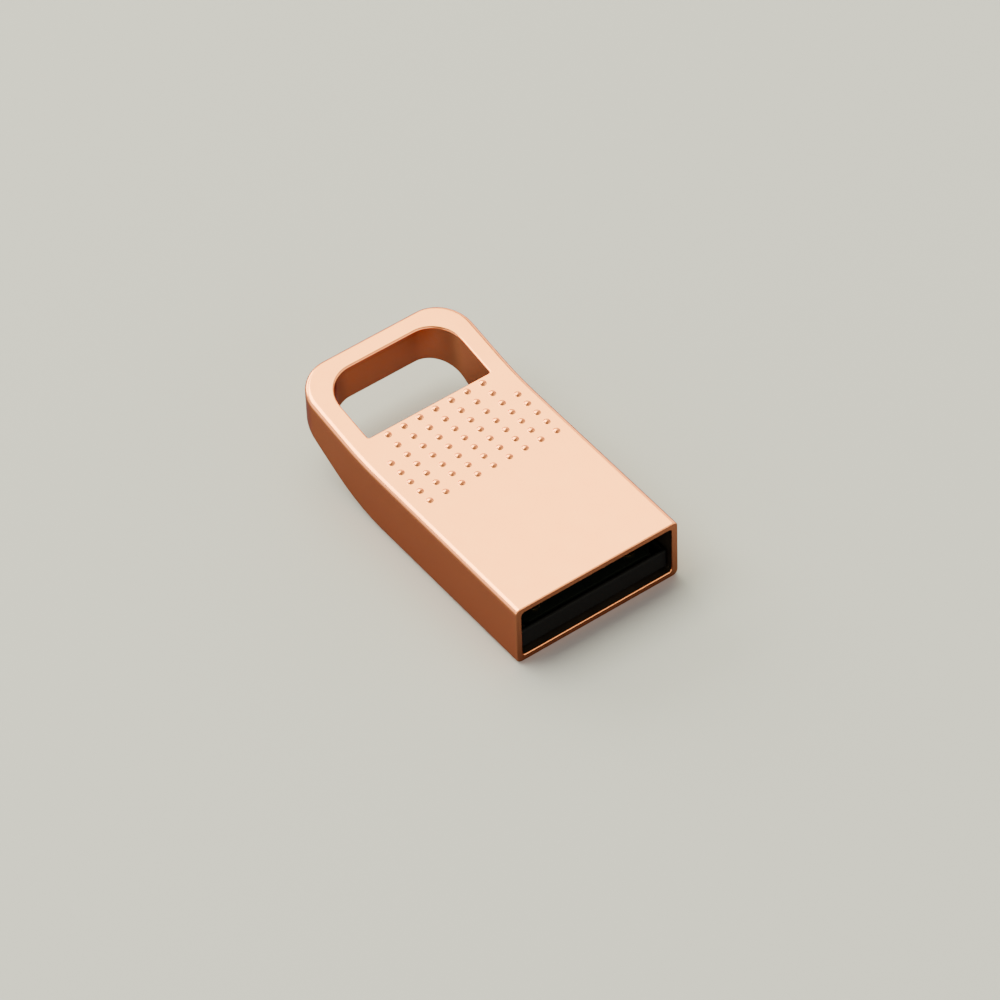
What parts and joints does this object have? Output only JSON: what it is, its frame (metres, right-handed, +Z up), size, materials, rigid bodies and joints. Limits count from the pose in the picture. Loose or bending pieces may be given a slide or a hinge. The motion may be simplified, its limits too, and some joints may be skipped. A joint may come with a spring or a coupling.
{
  "type": "usb flash drive",
  "caption": "Small one-piece metal USB-A flash drive: open plug end, flat body with a field of raised pips, and an upswept rounded lanyard loop.",
  "frame": {"origin": "bottom centre of the whole drive, on the surface that it rests on, half way along its length", "axes": "+Y along the drive from the open plug end to the lanyard loop, +X across it, +Z up through the face with the pips"},
  "size_m": [0.012, 0.023, 0.0058],
  "materials": {
    "rose_metal": "satin rose-gold plating on a die-cast body",
    "black_plastic": "matt black moulding",
    "adhesive": "clear adhesive film",
    "board_mask": "black solder mask",
    "gold_plate": "gold flash plating",
    "mould_epoxy": "matt black epoxy",
    "silicon": "polished silicon",
    "crystal_can": "plated metal lid",
    "ceramic": "fired ceramic",
    "ferrite": "fired ferrite",
    "resistor_film": "glazed black film"
  },
  "bodies": {
    "root": {"metal_shell": "rose_metal", "contact_tray": "black_plastic", "tray_adhesive": "adhesive", "circuit_board": "board_mask", "contact_vbus": "gold_plate", "contact_data_minus": "gold_plate", "contact_data_plus": "gold_plate", "contact_ground": "gold_plate", "mould_cap": "mould_epoxy", "flash_die": "silicon", "controller_die": "silicon", "crystal_oscillator": "crystal_can", "ferrite_bead": "ferrite", "capacitor_1": "ceramic", "capacitor_2": "ceramic", "capacitor_3": "ceramic", "capacitor_4": "ceramic", "resistor_1": "resistor_film", "resistor_2": "resistor_film", "resistor_3": "resistor_film"}
  },
  "joints": []
}
